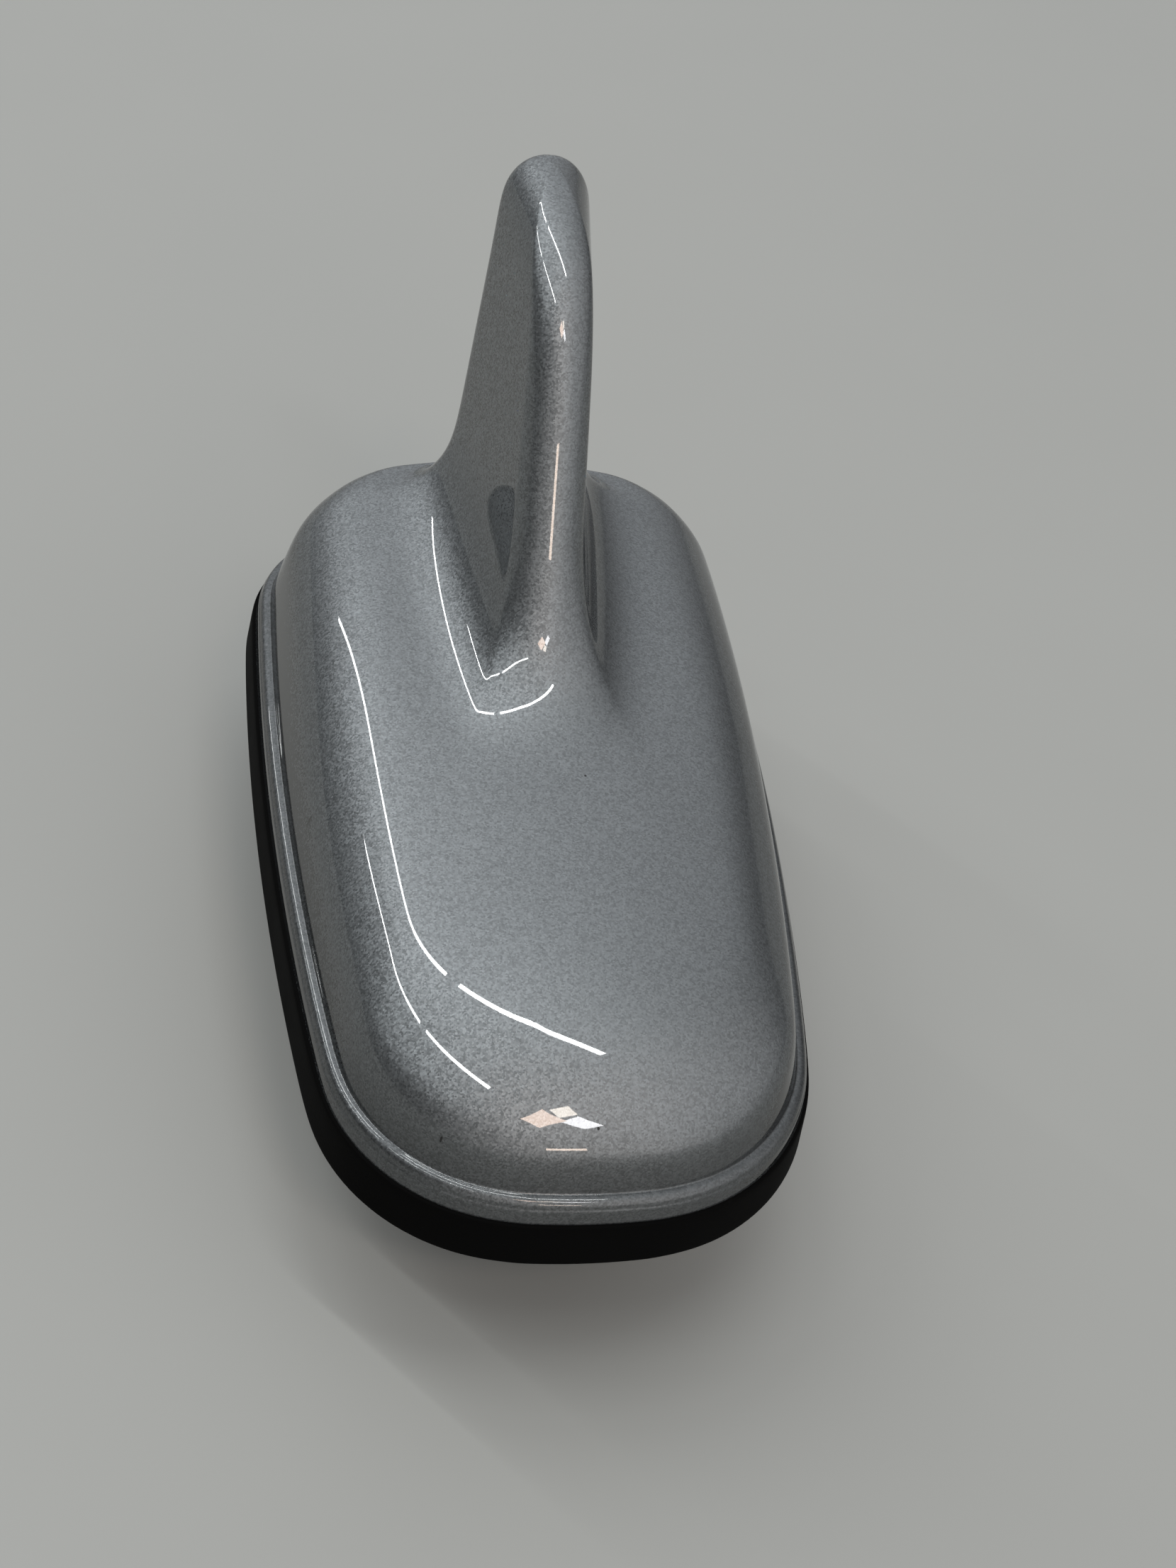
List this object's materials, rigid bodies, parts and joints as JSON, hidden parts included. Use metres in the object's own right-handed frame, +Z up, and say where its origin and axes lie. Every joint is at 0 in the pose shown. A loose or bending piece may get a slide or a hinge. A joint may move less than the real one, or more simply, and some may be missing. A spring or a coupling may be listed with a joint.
{
  "type": "shark fin roof aerial",
  "caption": "Painted roof aerial with a domed base and a narrow raked fin, on a rubber gasket, fixed through the roof by a hollow threaded stud; radio and satellite receivers inside.",
  "frame": {"origin": "on the axis of the fixing stud, in the roof plane under the gasket", "axes": "+Z up out of the roof along the stud, -Y towards the nose, +Y towards the fin, +X to the right seen from the nose side looking at the fin"},
  "size_m": [0.064, 0.111, 0.0884],
  "materials": {
    "cover_paint": "silver metallic paint under clear coat",
    "gasket_rubber": "matte",
    "base_metal": "die cast, satin",
    "stud_steel": "zinc plated",
    "board_laminate": "solder resist, satin",
    "screw_steel": "zinc plated",
    "pad_foam": "matte",
    "patch_ceramic": "matte",
    "silver_plating": "satin",
    "tin_plate": "satin",
    "chip_body": "matte",
    "filter_ceramic": "matte",
    "choke_ferrite": "matte",
    "capacitor_ceramic": "satin",
    "radiator_brass": "satin",
    "holder_plastic": "satin",
    "spring_bronze": "satin"
  },
  "bodies": {
    "root": {"cover": "cover_paint", "gasket": "gasket_rubber", "base_plate": "base_metal", "fixing_stud": "stud_steel", "main_board": "board_laminate", "board_screws": "screw_steel", "cover_screws": "screw_steel", "patch_pad": "pad_foam", "patch_ceramic": "patch_ceramic", "patch_electrode": "silver_plating", "patch_pin": "silver_plating", "shield_can": "tin_plate", "amplifier_chip": "chip_body", "band_filter": "filter_ceramic", "supply_choke": "choke_ferrite", "board_capacitors": "capacitor_ceramic", "fin_radiator": "radiator_brass", "radiator_holder": "holder_plastic", "feed_spring": "spring_bronze"}
  },
  "joints": []
}
